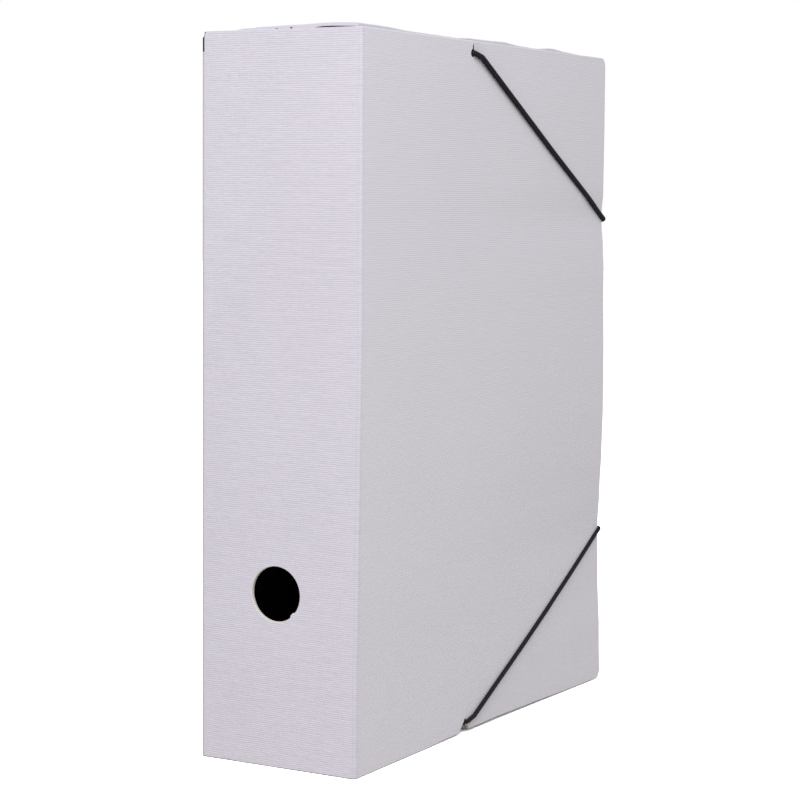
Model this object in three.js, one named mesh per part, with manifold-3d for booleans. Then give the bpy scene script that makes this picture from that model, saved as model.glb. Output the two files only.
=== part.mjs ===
// A4 box file with a hinged cover, a finger hole in the spine and two corner elastics.
// Millimetres, +Z up. X runs from the spine (-X) to the fore-edge (+X), and Y from the lid (-Y) to the back (+Y).
// The origin is the middle of the box's underside.

import * as THREE from 'three';
import { mergeVertices } from 'three/addons/utils/BufferGeometryUtils.js';
import Module from 'manifold-3d';

const wasm = await Module();
wasm.setup();

// Overall size of the cover boards
const coverDepth = 250;          // spine to fore-edge
const spineWidth = 82;           // outside of the lid to outside of the back
const coverHeight = 328.2;       // boards of the lid, spine and back
const boardThickness = 2;
const runningGap = 0.3;          // between pieces that touch or pass each other

// Tray: the back panel and the walls folded up from it
const foldRadius = 2.4;          // outside of a fold
const innerFoldRadius = 0.5;
const topWallRise = 1.8;         // free edge of the top wall above the cover boards
const tabLength = 30;            // glued tab folded from the fore-edge wall
const tabSetback = 3;            // from the wall's free edge
const tabTaper = 8;

// Cover boards
const panelLift = 0.3;           // lower edges above the ground
const coverCornerRadius = 4.5;   // fore-edge corners of the lid
const boardEdgeRadius = 0.5;     // paper turned over the edges

// Finger hole in the spine
const fingerHoleDiameter = 25;
const fingerHoleHeight = 78.8;   // centre above the ground
const fingerHoleShift = 1;       // centre past the middle of the spine, towards the back

// Elastics
const upperCordDiameter = 3;
const lowerCordDiameter = 2.3;
const cordHoleInset = 102;       // holes and notches, from the spine
const upperHoleDrop = 4.8;       // centre below the top of the cover
const lowerHoleRise = 4.2;       // centre above the ground
const holeEase = 0.5;            // between a cord and the edge of its hole
const upperSlitWidth = 0.8;
const notchMouth = 10;           // width of the lid's lower notch at the edge
const notchLean = 0.9;           // middle of the mouth towards the spine from the hole
const notchReach = 3;            // how far the notch runs on into the edge of the bottom wall
const upperWrapHeight = 244.4;   // where the upper elastic rounds the fore-edge
const lowerWrapHeight = 81.2;    // where the lower one does
const shoulderRun = 7;           // first stretch beyond a hole, flatter than the rest
const shoulderDrop = 2.4;
const cordSides = 8;
const stepsPerBend = 4;
const straightStep = 8;

// Crimped sleeves that join the ends of an elastic
const sleeveLength = 11;
const sleeveWall = 0.7;
const sleeveGrooveDepth = 0.3;
const sleeveGrooveWidth = 1.6;
const cordEndGap = 0.8;          // between the two ends of a cord, inside its sleeve

const arcSteps = 6;              // facets of a quarter turn on an edge
const holeSteps = 64;

// Places worked out from the sizes above
const spineX = -coverDepth / 2;
const foreX = coverDepth / 2;
const lidY = -spineWidth / 2;
const backY = spineWidth / 2;
const rimY = lidY + boardThickness + runningGap;
const wallStartX = spineX + boardThickness + runningGap;
const panelTop = coverHeight;
const trayTop = coverHeight + topWallRise;
const mitreGap = runningGap * Math.SQRT1_2;
const cordHoleX = spineX + cordHoleInset;
const upperHoleZ = coverHeight - upperHoleDrop;
const lowerHoleZ = lowerHoleRise;

const linenPaper = new THREE.MeshStandardMaterial({ color: 0xd6d2dc, roughness: 0.85, metalness: 0 });
const linenSpine = new THREE.MeshStandardMaterial({ color: 0xdcd6df, roughness: 0.85, metalness: 0 });
const blackElastic = new THREE.MeshStandardMaterial({ color: 0x1c1b1f, roughness: 0.75, metalness: 0 });
const crimpedSteel = new THREE.MeshStandardMaterial({ color: 0xb9bbc0, roughness: 0.35, metalness: 1 });

// Solids and meshes

function toSolid(geometry) {
  geometry.deleteAttribute('normal');
  geometry.deleteAttribute('uv');
  const merged = mergeVertices(geometry, 1e-4);
  return new wasm.Manifold(new wasm.Mesh({
    numProp: 3,
    vertProperties: new Float32Array(merged.attributes.position.array),
    triVerts: new Uint32Array(merged.index.array),
  }));
}

function toGeometry(solid) {
  const mesh = solid.getMesh();
  const geometry = new THREE.BufferGeometry();
  geometry.setAttribute('position', new THREE.BufferAttribute(new Float32Array(mesh.vertProperties), 3));
  geometry.setIndex(new THREE.BufferAttribute(new Uint32Array(mesh.triVerts), 1));
  geometry.computeVertexNormals();
  return geometry;
}

function namedMesh(name, geometry, material) {
  const mesh = new THREE.Mesh(geometry, material);
  mesh.name = name;
  return mesh;
}

// Extrusions of a flat shape along one axis, from one coordinate to another

function extruded(shape, length, basis, start, curveSegments) {
  const geometry = new THREE.ExtrudeGeometry(shape, { depth: length, bevelEnabled: false, curveSegments });
  geometry.applyMatrix4(basis.setPosition(start));
  return toSolid(geometry);
}

// Shape points are (x, y)
function extrudeZ(shape, from, to, curveSegments = arcSteps) {
  return extruded(shape, to - from, new THREE.Matrix4(), new THREE.Vector3(0, 0, from), curveSegments);
}

// Shape points are (y, z)
function extrudeX(shape, from, to, curveSegments = arcSteps) {
  const basis = new THREE.Matrix4().makeBasis(
    new THREE.Vector3(0, 1, 0), new THREE.Vector3(0, 0, 1), new THREE.Vector3(1, 0, 0));
  return extruded(shape, to - from, basis, new THREE.Vector3(from, 0, 0), curveSegments);
}

// Shape points are (x, z)
function extrudeY(shape, from, to, curveSegments = arcSteps) {
  const basis = new THREE.Matrix4().makeBasis(
    new THREE.Vector3(1, 0, 0), new THREE.Vector3(0, 0, 1), new THREE.Vector3(0, -1, 0));
  return extruded(shape, to - from, basis, new THREE.Vector3(0, to, 0), curveSegments);
}

// A closed outline through corner points [x, y, radius], with an arc wherever the radius is given
function roundedOutline(corners) {
  const shape = new THREE.Shape();
  corners.forEach(([x, y, radius = 0], index) => {
    const corner = new THREE.Vector2(x, y);
    const before = corners[(index + corners.length - 1) % corners.length];
    const after = corners[(index + 1) % corners.length];
    const towardsBefore = new THREE.Vector2(before[0], before[1]).sub(corner).normalize();
    const towardsAfter = new THREE.Vector2(after[0], after[1]).sub(corner).normalize();
    if (radius === 0) {
      if (index === 0) shape.moveTo(x, y);
      else shape.lineTo(x, y);
      return;
    }
    const halfAngle = Math.acos(towardsBefore.dot(towardsAfter)) / 2;
    const setback = radius / Math.tan(halfAngle);
    const arcStart = corner.clone().addScaledVector(towardsBefore, setback);
    const arcEnd = corner.clone().addScaledVector(towardsAfter, setback);
    const centre = towardsBefore.clone().add(towardsAfter).normalize()
      .multiplyScalar(radius / Math.sin(halfAngle)).add(corner);
    if (index === 0) shape.moveTo(arcStart.x, arcStart.y);
    else shape.lineTo(arcStart.x, arcStart.y);
    const startAngle = Math.atan2(arcStart.y - centre.y, arcStart.x - centre.x);
    const endAngle = Math.atan2(arcEnd.y - centre.y, arcEnd.x - centre.x);
    const clockwise = towardsBefore.cross(towardsAfter) > 0;
    shape.absarc(centre.x, centre.y, radius, startAngle, endAngle, clockwise);
  });
  return shape;
}

function circle(x, y, radius) {
  const shape = new THREE.Shape();
  shape.absarc(x, y, radius, 0, 2 * Math.PI);
  return shape;
}

// Tray: one board, scored and folded

// Top wall's outer face: it rises from the fold at the back to its free edge
function topWallZ(y) {
  return coverHeight + topWallRise * (backY - y) / (backY - rimY);
}

function trayOutside() {
  const sideView = roundedOutline([
    [rimY, 0], [backY, 0, foldRadius], [backY, topWallZ(backY), foldRadius], [rimY, topWallZ(rimY)],
  ]);
  const planView = roundedOutline([
    [wallStartX, rimY],
    [foreX, rimY],
    [foreX, backY, foldRadius],
    [spineX + mitreGap, backY],
    [spineX + boardThickness + mitreGap, backY - boardThickness],
    [wallStartX + mitreGap, backY - boardThickness],
    [wallStartX, backY - boardThickness - mitreGap],
  ]);
  const frontView = roundedOutline([
    [spineX, 0], [foreX, 0, foldRadius], [foreX, trayTop, foldRadius], [spineX, trayTop],
  ]);
  return extrudeX(sideView, spineX, foreX)
    .intersect(extrudeZ(planView, 0, trayTop))
    .intersect(extrudeY(frontView, rimY, backY));
}

function trayInside() {
  const beyondRim = lidY;
  const sideView = roundedOutline([
    [beyondRim, boardThickness],
    [backY - boardThickness, boardThickness, innerFoldRadius],
    [backY - boardThickness, topWallZ(backY) - boardThickness, innerFoldRadius],
    [beyondRim, topWallZ(beyondRim) - boardThickness],
  ]);
  return extrudeX(sideView, spineX, foreX - boardThickness);
}

// Tabs folded from the ends of the fore-edge wall and glued under the top wall and on the bottom wall
function wallTabs() {
  const inset = rimY + tabSetback;
  const root = foreX - boardThickness / 2;
  const end = foreX - boardThickness - tabLength;
  const plan = roundedOutline([
    [root, inset], [root, backY - boardThickness / 2], [end, backY - boardThickness - tabTaper, innerFoldRadius],
    [end, inset + tabTaper, innerFoldRadius],
  ]);
  const strip = (z) => roundedOutline([
    [lidY, z(lidY)], [backY, z(backY)], [backY, z(backY) + boardThickness], [lidY, z(lidY) + boardThickness],
  ]);
  const underTop = extrudeX(strip((y) => topWallZ(y) - 2 * boardThickness), end, root);
  const onBottom = extrudeX(strip(() => boardThickness), end, root);
  return extrudeZ(plan, 0, trayTop).intersect(underTop.add(onBottom));
}

function cordHole(diameter, z, fromY, toY) {
  return extrudeY(circle(cordHoleX, z, diameter / 2 + holeEase), fromY, toY, holeSteps / 2);
}

function tray() {
  const beyond = backY + boardThickness;
  return trayOutside()
    .subtract(trayInside())
    .add(wallTabs())
    .subtract(extrudeY(lowerNotch(), lidY, rimY + notchReach))
    .subtract(cordHole(upperCordDiameter, upperHoleZ, backY - 2 * boardThickness, beyond))
    .subtract(cordHole(lowerCordDiameter, lowerHoleZ, backY - 2 * boardThickness, beyond));
}

// Cover boards: mitred along the creases, so that they open about the outer corner lines

function lidPanel() {
  const plan = roundedOutline([
    [spineX + mitreGap, lidY],
    [foreX, lidY, boardEdgeRadius],
    [foreX, lidY + boardThickness, boardEdgeRadius],
    [spineX + boardThickness + mitreGap, lidY + boardThickness],
  ]);
  const frontView = roundedOutline([
    [spineX, panelLift], [foreX, panelLift, coverCornerRadius],
    [foreX, panelTop, coverCornerRadius], [spineX, panelTop],
  ]);
  const outside = lidY - boardThickness;
  const inside = lidY + 2 * boardThickness;
  const board = extrudeZ(plan, panelLift, panelTop).intersect(extrudeY(frontView, outside, inside));
  return board
    .subtract(cordHole(upperCordDiameter, upperHoleZ, outside, inside))
    .subtract(extrudeY(upperSlit(), outside, inside))
    .subtract(cordHole(lowerCordDiameter, lowerHoleZ, outside, inside))
    .subtract(extrudeY(lowerNotch(), outside, inside));
}

// Narrow cut from the top edge down to the upper hole
function upperSlit() {
  const half = upperSlitWidth / 2;
  const beyond = panelTop + boardThickness;
  return roundedOutline([
    [cordHoleX - half, upperHoleZ], [cordHoleX + half, upperHoleZ],
    [cordHoleX + half, beyond], [cordHoleX - half, beyond],
  ]);
}

// Open V from the bottom edge up to the lower hole
function lowerNotch() {
  const apexHalf = lowerCordDiameter / 2 + holeEase;
  const mouthX = cordHoleX - notchLean;
  return roundedOutline([
    [mouthX - notchMouth / 2, panelLift - boardThickness],
    [mouthX - notchMouth / 2, panelLift],
    [cordHoleX - apexHalf, lowerHoleZ], [cordHoleX + apexHalf, lowerHoleZ],
    [mouthX + notchMouth / 2, panelLift],
    [mouthX + notchMouth / 2, panelLift - boardThickness],
  ]);
}

function spinePanel() {
  const plan = roundedOutline([
    [spineX, lidY + mitreGap],
    [spineX + boardThickness, lidY + boardThickness + mitreGap],
    [spineX + boardThickness, backY - boardThickness - mitreGap],
    [spineX, backY - mitreGap],
  ]);
  const holeY = fingerHoleShift;
  const hole = extrudeX(circle(holeY, fingerHoleHeight, fingerHoleDiameter / 2),
    spineX - boardThickness, spineX + 2 * boardThickness, holeSteps);
  return extrudeZ(plan, panelLift, panelTop).subtract(hole);
}

// Elastics: closed corner loops of round cord, with their ends in a crimped sleeve

// A path through corner points whose stations lie close together on the bends and further apart on the straights
class CordRoute extends THREE.Curve {
  constructor(corners, bendRadius) {
    super();
    this.stations = cordStations(corners, bendRadius);
  }

  getPoint(t, target = new THREE.Vector3()) {
    const place = t * (this.stations.length - 1);
    const index = Math.min(Math.floor(place), this.stations.length - 2);
    return target.lerpVectors(this.stations[index], this.stations[index + 1], place - index);
  }

  getPointAt(u, target) {
    return this.getPoint(u, target);
  }

  getTangentAt(u, target = new THREE.Vector3()) {
    const last = this.stations.length - 1;
    const index = Math.round(u * last);
    const before = this.stations[Math.max(index - 1, 0)];
    const after = this.stations[Math.min(index + 1, last)];
    return target.subVectors(after, before).normalize();
  }
}

function cordStations(corners, bendRadius) {
  const stations = [corners[0].clone()];
  const addStraight = (end) => {
    const start = stations[stations.length - 1];
    const count = Math.max(1, Math.round(start.distanceTo(end) / straightStep));
    for (let i = 1; i <= count; i += 1) stations.push(start.clone().lerp(end, i / count));
  };
  for (let i = 1; i < corners.length - 1; i += 1) {
    const incoming = corners[i].clone().sub(corners[i - 1]).normalize();
    const outgoing = corners[i + 1].clone().sub(corners[i]).normalize();
    const turn = incoming.angleTo(outgoing);
    const setback = bendRadius * Math.tan(turn / 2);
    addStraight(corners[i].clone().addScaledVector(incoming, -setback));
    const centre = outgoing.clone().sub(incoming).normalize()
      .multiplyScalar(bendRadius / Math.cos(turn / 2)).add(corners[i]);
    const arm = stations[stations.length - 1].clone().sub(centre);
    const axis = incoming.clone().cross(outgoing).normalize();
    const count = Math.max(1, Math.ceil(stepsPerBend * turn / (Math.PI / 2)));
    for (let k = 1; k <= count; k += 1) {
      stations.push(arm.clone().applyAxisAngle(axis, turn * k / count).add(centre));
    }
  }
  addStraight(corners[corners.length - 1]);
  return stations;
}

// Round the corner: out at the lid's hole, over the lid, round the fore-edge, over the back and in at its hole
function cornerLoop(diameter, holeZ, wrapZ) {
  const radius = diameter / 2;
  const standOff = runningGap + radius;
  const side = Math.sign(wrapZ - holeZ);
  const frontY = lidY - standOff;
  const rearY = backY + standOff;
  const foreEdgeX = foreX + standOff;
  const point = (x, y, z) => new THREE.Vector3(x, y, z);
  const corners = [
    point(cordHoleX, -cordEndGap / 2, holeZ),
    point(cordHoleX, frontY, holeZ),
    point(cordHoleX + shoulderRun, frontY, holeZ + side * shoulderDrop),
    point(foreEdgeX, frontY, wrapZ),
    point(foreEdgeX, rearY, wrapZ),
    point(cordHoleX + shoulderRun, rearY, holeZ + side * shoulderDrop),
    point(cordHoleX, rearY, holeZ),
    point(cordHoleX, cordEndGap / 2, holeZ),
  ];
  const route = new CordRoute(corners, radius + holeEase);
  const section = new THREE.Shape();
  for (let i = 0; i < cordSides; i += 1) {
    const angle = 2 * Math.PI * i / cordSides;
    const x = radius * Math.cos(angle);
    const y = radius * Math.sin(angle);
    if (i === 0) section.moveTo(x, y);
    else section.lineTo(x, y);
  }
  return toSolid(new THREE.ExtrudeGeometry(section, {
    steps: route.stations.length - 1, extrudePath: route, bevelEnabled: false,
  }));
}

// Revolved about Y, which is the cord's direction inside the box
function crimpSleeve(cordDiameter) {
  const bore = cordDiameter / 2 + runningGap;
  const outer = bore + sleeveWall;
  const grooved = outer - sleeveGrooveDepth;
  const half = sleeveLength / 2;
  const groove = sleeveLength / 4;
  const halfGroove = sleeveGrooveWidth / 2;
  const lip = sleeveWall / 2;
  const profile = [
    [bore, -half], [outer - lip, -half], [outer, -half + lip],
    [outer, -groove - halfGroove], [grooved, -groove], [outer, -groove + halfGroove],
    [outer, groove - halfGroove], [grooved, groove], [outer, groove + halfGroove],
    [outer, half - lip], [outer - lip, half], [bore, half], [bore, -half],
  ].map(([r, y]) => new THREE.Vector2(r, y));
  return new THREE.LatheGeometry(profile, holeSteps / 2);
}

function elastic(name, diameter, holeZ, wrapZ) {
  const cord = namedMesh(`${name}_elastic`, toGeometry(cornerLoop(diameter, holeZ, wrapZ)), blackElastic);
  const sleeve = namedMesh(`${name}_crimp_sleeve`, crimpSleeve(diameter), crimpedSteel);
  sleeve.position.set(cordHoleX, 0, holeZ);
  return [cord, sleeve];
}

const boxFile = new THREE.Group();
boxFile.name = 'box_file';
boxFile.add(
  namedMesh('tray', toGeometry(tray()), linenPaper),
  namedMesh('spine_panel', toGeometry(spinePanel()), linenSpine),
  namedMesh('lid_panel', toGeometry(lidPanel()), linenPaper),
  ...elastic('upper', upperCordDiameter, upperHoleZ, upperWrapHeight),
  ...elastic('lower', lowerCordDiameter, lowerHoleZ, lowerWrapHeight),
);

export default boxFile;
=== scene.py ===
"""Looks of an A4 box file: linen-embossed covered board, a finger hole and two braided corner elastics."""

import math

import bmesh
import bpy
from mathutils import Matrix, Vector


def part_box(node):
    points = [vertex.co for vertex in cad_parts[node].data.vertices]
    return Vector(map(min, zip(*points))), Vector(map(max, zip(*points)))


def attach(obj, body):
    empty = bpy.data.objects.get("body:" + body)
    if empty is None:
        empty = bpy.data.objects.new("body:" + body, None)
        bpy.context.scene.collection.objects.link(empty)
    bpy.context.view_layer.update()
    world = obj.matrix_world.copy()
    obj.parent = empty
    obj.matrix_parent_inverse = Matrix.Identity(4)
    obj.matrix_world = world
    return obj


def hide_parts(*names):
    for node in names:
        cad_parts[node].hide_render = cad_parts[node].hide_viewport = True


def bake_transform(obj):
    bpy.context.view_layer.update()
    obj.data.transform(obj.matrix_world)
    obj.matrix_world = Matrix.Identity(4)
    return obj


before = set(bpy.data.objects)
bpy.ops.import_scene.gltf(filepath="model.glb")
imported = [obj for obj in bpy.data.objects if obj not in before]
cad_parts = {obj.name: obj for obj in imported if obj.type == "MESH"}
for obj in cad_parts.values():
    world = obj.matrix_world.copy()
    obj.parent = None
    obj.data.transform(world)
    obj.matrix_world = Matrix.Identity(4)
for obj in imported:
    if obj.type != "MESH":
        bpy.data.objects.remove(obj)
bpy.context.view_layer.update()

MM = 0.001

# Places and sizes of the boards, from the CAD frame
LID_LOW, LID_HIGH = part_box("lid_panel")
SPINE_LOW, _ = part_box("spine_panel")
TRAY_LOW, TRAY_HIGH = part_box("tray")
FORE_X = LID_HIGH.x
SPINE_X = SPINE_LOW.x
LID_Y = LID_LOW.y
BACK_Y = TRAY_HIGH.y
RIM_Y = TRAY_LOW.y
BOARD = LID_HIGH.y - LID_LOW.y
PANEL_BOTTOM = LID_LOW.z
PANEL_TOP = LID_HIGH.z
DEPTH = FORE_X - SPINE_X
WIDTH = BACK_Y - LID_Y

# Cover board
CREASE_RADIUS = 1.7 * MM
CREASE_LEG = 1.0 * MM
CREASE_THICKNESS = 1.1 * MM
EDGE_RADIUS = 0.35 * MM
CORNER_RADIUS = 4.5 * MM
TRIM = 2 * MM
GRID = 6 * MM
ARC_STEPS = 10
CORNER_STEPS = 8
SHARP_ANGLE = math.radians(13)

# How near two places must be to count as one, and how square to the board a face is that isn't on its edge
SAME_PLACE = 1e-7
MERGE_REACH = 1e-6
SEAM_REACH = 1e-5
FACE_TILT = 0.7

# Tray
FOLD_RADIUS = 2.4 * MM
CORNER_RELIEF = 0.3 * MM
TAB_LENGTH = 30 * MM
TAB_SETBACK = 3 * MM
TAB_TAPER = 8 * MM
TURN_IN = 12 * MM
LINING_SETBACK = 1 * MM
GAP_GRID = 3 * MM
RIM_GRID = 1.1 * MM
SAG_GRID = 0.7 * MM

# Openings for the elastics and the finger
FINGER_HOLE_RADIUS = 12.5 * MM
FINGER_HOLE_STEPS = 96
PUNCH_LIP = 0.75 * MM
PUNCH_LIP_START = 3.83
PUNCH_LIP_END = 4.0
FINGER_HOLE_Y = 1.0 * MM
FINGER_HOLE_Z = 78.8 * MM
CORD_HOLE_X = SPINE_X + 102 * MM
UPPER_HOLE_Z = PANEL_TOP - 5.6 * MM
LOWER_HOLE_Z = 5.6 * MM
UPPER_CORD_RADIUS = 1.28 * MM
LOWER_CORD_RADIUS = 1.05 * MM
HOLE_EASE = 0.5 * MM
CORD_HOLE_STEPS = 24
KEYHOLE_STEPS = 20
SLIT_WIDTH = 0.8 * MM
SLIT_CLOSED = 1.3 * MM
SLIT_PRESSED = 0.2
NOTCH_MOUTH = 10 * MM
NOTCH_LEAN = 0.9 * MM
NOTCH_REACH = 7 * MM
NOTCH_EASE = 0.3 * MM
NOTCH_DROP = 0.4 * MM
NOTCH_STEPS = 10
TRAY_NOTCH_SHARE = 0.7
CORD_GAP = 0.1 * MM

# Reach of the pale raw edge round the openings
RAW_REACH = 1 * MM
UPPER_RIM_REACH = 3 * MM
LOWER_RIM_REACH = 2.5 * MM
NOTCH_EDGE_HALF = 0.62 * NOTCH_MOUTH
NOTCH_EDGE_RISE = 2 * MM

# Camera, fitted to the corners of the box in the photograph
CAMERA_PLACE = Vector((-0.9629, -0.5387, 0.2575))
CAMERA_HEADING = math.radians(60.371)
CAMERA_PITCH = math.radians(5.24)
CAMERA_ROLL = math.radians(0.476)
CAMERA_LENS = 101.69
CAMERA_SENSOR = 36
CAMERA_NEAR, CAMERA_FAR = 0.05, 50


def smooth(t):
    t = min(max(t, 0.0), 1.0)
    return t * t * (3 - 2 * t)


def along(stations, x):
    """Value at x of a smooth run through listed stations (place, value)."""
    if x <= stations[0][0]:
        return stations[0][1]
    for (x0, v0), (x1, v1) in zip(stations, stations[1:]):
        if x <= x1:
            return v0 + (v1 - v0) * smooth((x - x0) / (x1 - x0))
    return stations[-1][1]


# Shape of the boards as they stand: the lid bows out between its elastics, and the top wall waves

LID_BOW = [  # height, distance that the fore-edge stands out
    (0, 3.1), (25, 2.5), (55, 1.2), (81, 0.5), (100, 1.4), (124, 2.3), (145, 2.7), (165, 2.6), (215, 1.8), (232, 1.0),
    (243, 0.0), (249, 0.0), (255, 0.8), (290, 0.9), (328, 0.8),
]
CREASE_PUSH = [  # height, distance that the front crease stands out towards the lid's side
    (0, 0.0), (35, -0.1), (90, 0.5), (145, 1.0), (200, 1.4), (255, 1.25), (305, 1.0), (328, 0.9),
]
RIM_RISE = [  # distance from the spine, rise of the top wall's free edge above the lid
    (0, 1.9), (17, 1.9), (31, 1.6), (45, 1.1), (75, 0.95), (90, 0.85), (106, 1.5), (122, 1.6), (139, 1.9),
    (156, 1.0), (174, 0.75), (192, 1.9), (208, 1.0), (230, 0.3), (250, 0.1),
]
END_RISE = [  # distance from the lid, rise of the top wall's end above the spine
    (0, 1.8), (16, 2.2), (34, 1.7), (50, 1.3), (60, 0.8), (67, 0.1), (82, 0.0),
]
LOWER_LIFT = [  # distance from the spine, height by which the elastic has drawn the lid's lower edge up
    (0, 0.0), (60, 0.1), (88, 0.7), (105, 1.2), (135, 1.4), (170, 1.0), (215, 0.4), (250, 0.2),
]
END_GAP = [  # distance from the lid, share of the top wall's thickness that is pinched away at its end
    (0, 0.1), (4, 0.3), (19, 0.34), (27, 0.0), (33.3, 0.0), (35, 0.72), (36.7, 0.0), (40.8, 0.0), (42.5, 0.78),
    (44.2, 0.0),
]
GAP_REACH = 12 * MM
LIFT_REACH = 30 * MM
RIM_LIFT_REACH = 18 * MM
SLIT_LIFT = 0.5 * MM
SLIT_SPREAD = 5 * MM
# Length from the top over which the back crease is finished in black lining outside
DARK_TOP_REACH = 9 * MM
CORNER_SAG = 2.6 * MM
CORNER_SAG_REACH = 5 * MM
WAVE_REACH = 25 * MM
RIM_CURVE = 1.3
END_REACH = 45 * MM


def crease_push(z):
    return along(CREASE_PUSH, z / MM) * MM


def lower_lift(x, z):
    return along(LOWER_LIFT, (x - SPINE_X) / MM) * MM * (1 - smooth(z / LIFT_REACH))


def board_bow(x, z):
    """Distance that the bent lid stands out."""
    ramp = (x - SPINE_X) / DEPTH
    return along(LID_BOW, z / MM) * MM * ramp * ramp + crease_push(z) * (1 - ramp)


def lid_bow(x, z):
    """The same, with the lips of the slit raised."""
    away = math.hypot(x - CORD_HOLE_X, z - PANEL_TOP) / SLIT_SPREAD
    return board_bow(x, z) + SLIT_LIFT * math.exp(-away * away)


def pinched(x, y, h):
    """Depth into the top wall, less where its end is pinched."""
    share = 1 - smooth((x - SPINE_X) / GAP_REACH)
    return h * (1 - share * along(END_GAP, (y - LID_Y) / MM))


def top_rise(x, y):
    """Rise of the waving top wall over its level."""
    from_spine = x - SPINE_X
    to_rim = (BACK_Y - y) / (BACK_Y - RIM_Y)
    rim = along(RIM_RISE, from_spine / MM) * max(to_rim, 0) ** RIM_CURVE
    end = along(END_RISE, (y - LID_Y) / MM)
    share = 1 - smooth(from_spine / END_REACH)
    return (end * share + rim * (1 - share)) * MM


# Boards, cut flat as a blank and then folded: a runs across the blank, b up it and h into the board


def placed(name, data):
    made = bpy.data.objects.new(name, data)
    bpy.context.collection.objects.link(made)
    return made


def plain_mesh(maker):
    """Mesh of a curve as it stands with its modifiers. The curve's own object is removed."""
    bpy.context.view_layer.update()
    evaluated = maker.evaluated_get(bpy.context.evaluated_depsgraph_get())
    mesh = bpy.data.meshes.new_from_object(evaluated)
    bpy.data.objects.remove(maker)
    return mesh


def arc_points(cx, cy, radius, start, end, steps):
    angles = [start + (end - start) * i / steps for i in range(steps + 1)]
    return [(cx + radius * math.cos(angle), cy + radius * math.sin(angle)) for angle in angles]


def cut_board(board, place, normal, **settings):
    parts = board.verts[:] + board.edges[:] + board.faces[:]
    return bmesh.ops.bisect_plane(board, geom=parts, dist=SAME_PLACE, plane_co=place, plane_no=normal, **settings)


def trim_board(board, a, keep):
    """Cuts the board off square at a, keeping the side that keep (-1 or 1) names."""
    cut = cut_board(board, (a, 0, 0), (keep, 0, 0), clear_inner=True)
    rim = [part for part in cut["geom_cut"] if isinstance(part, bmesh.types.BMEdge)]
    bmesh.ops.edgeloop_fill(board, edges=rim)


def flat_board(name, outline, holes, thickness, trims):
    """A flat board with rounded edges, square only where trimmed to butt on a crease, in (a, b, h)."""
    curve = bpy.data.curves.new(name, "CURVE")
    curve.dimensions = "2D"
    curve.fill_mode = "BOTH"
    curve.offset = -EDGE_RADIUS
    curve.extrude = thickness / 2 - EDGE_RADIUS
    curve.bevel_depth = EDGE_RADIUS
    curve.bevel_resolution = 1
    for loop in [outline, *holes]:
        spline = curve.splines.new("POLY")
        spline.points.add(len(loop) - 1)
        for point, (a, b) in zip(spline.points, loop):
            point.co = (a, b, 0, 1)
        spline.use_cyclic_u = True
    board = bmesh.new()
    board.from_mesh(plain_mesh(placed(name, curve)))
    bmesh.ops.remove_doubles(board, verts=board.verts, dist=MERGE_REACH)
    bmesh.ops.recalc_face_normals(board, faces=board.faces)
    for vertex in board.verts:
        vertex.co.z = thickness / 2 - vertex.co.z
    for a, keep in trims:
        trim_board(board, a, keep)
    bmesh.ops.recalc_face_normals(board, faces=board.faces)
    return board


def slice_board(board, a_cuts, b_cuts):
    for normal, cuts in ((Vector((1, 0, 0)), a_cuts), (Vector((0, 1, 0)), b_cuts)):
        for cut in cuts:
            cut_board(board, normal * cut, normal)


def cuts_between(low, high, step=GRID):
    count = max(1, round((high - low) / step))
    return [low + (high - low) * i / count for i in range(count + 1)]


def folded(name, board, place, finish_of, materials):
    """Folds the blank: place maps (a, b, h) to a point, and finish_of picks each face's finish."""
    blank = board.loops.layers.uv.new("blank")
    for face in board.faces:
        face.material_index = finish_of(face.calc_center_median(), face.normal)
        face.smooth = True
        for loop in face.loops:
            loop[blank].uv = (loop.vert.co.x, loop.vert.co.y)
    for vertex in board.verts:
        vertex.co = place(*vertex.co)
    bmesh.ops.recalc_face_normals(board, faces=board.faces)
    mesh = bpy.data.meshes.new(name)
    board.to_mesh(mesh)
    board.free()
    mesh.set_sharp_from_angle(angle=SHARP_ANGLE)
    for material in materials:
        mesh.materials.append(material)
    return placed(name, mesh)


# Places of the finishes in each piece's list of materials
# The fourth finish, the darker linen on the creases' arcs, is painted shade
OUTER, INNER, RAW, FOLD_SHADE = 0, 1, 2, 3


def finish_by(inside, edge=lambda a, b: OUTER, seams=()):
    """Outer paper outside, lining inside, edges as edge says, and lining where a seam butts on a crease."""

    def pick(centre, normal):
        if abs(normal.z) > FACE_TILT:
            return INNER if normal.z > 0 and inside(centre.x, centre.y) else OUTER
        if any(abs(centre.x - seam) < SEAM_REACH for seam in seams):
            return INNER
        return edge(centre.x, centre.y)

    return pick


# The cover: one strip that runs from the lid's fore-edge round the spine to the back

LID_RUN = DEPTH - CREASE_RADIUS
CREASE_ARC = CREASE_RADIUS * math.pi / 2
SPINE_START = LID_RUN + CREASE_ARC
SPINE_END = SPINE_START + WIDTH - 2 * CREASE_RADIUS
BACK_START = SPINE_END + CREASE_ARC
LINED_BOTTOM = PANEL_BOTTOM + TURN_IN
LINED_TOP = PANEL_TOP - TURN_IN


def corner_sag(a, b):
    """Drop of the corner at the top of the back crease."""
    near_top = smooth((b - PANEL_TOP + CORNER_SAG_REACH) / CORNER_SAG_REACH)
    onto_crease = smooth((a - SPINE_END + CREASE_LEG) / (2 * CREASE_LEG))
    off_crease = smooth((a - BACK_START) / CREASE_LEG)
    return CORNER_SAG * near_top * onto_crease * (1 - off_crease)


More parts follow.
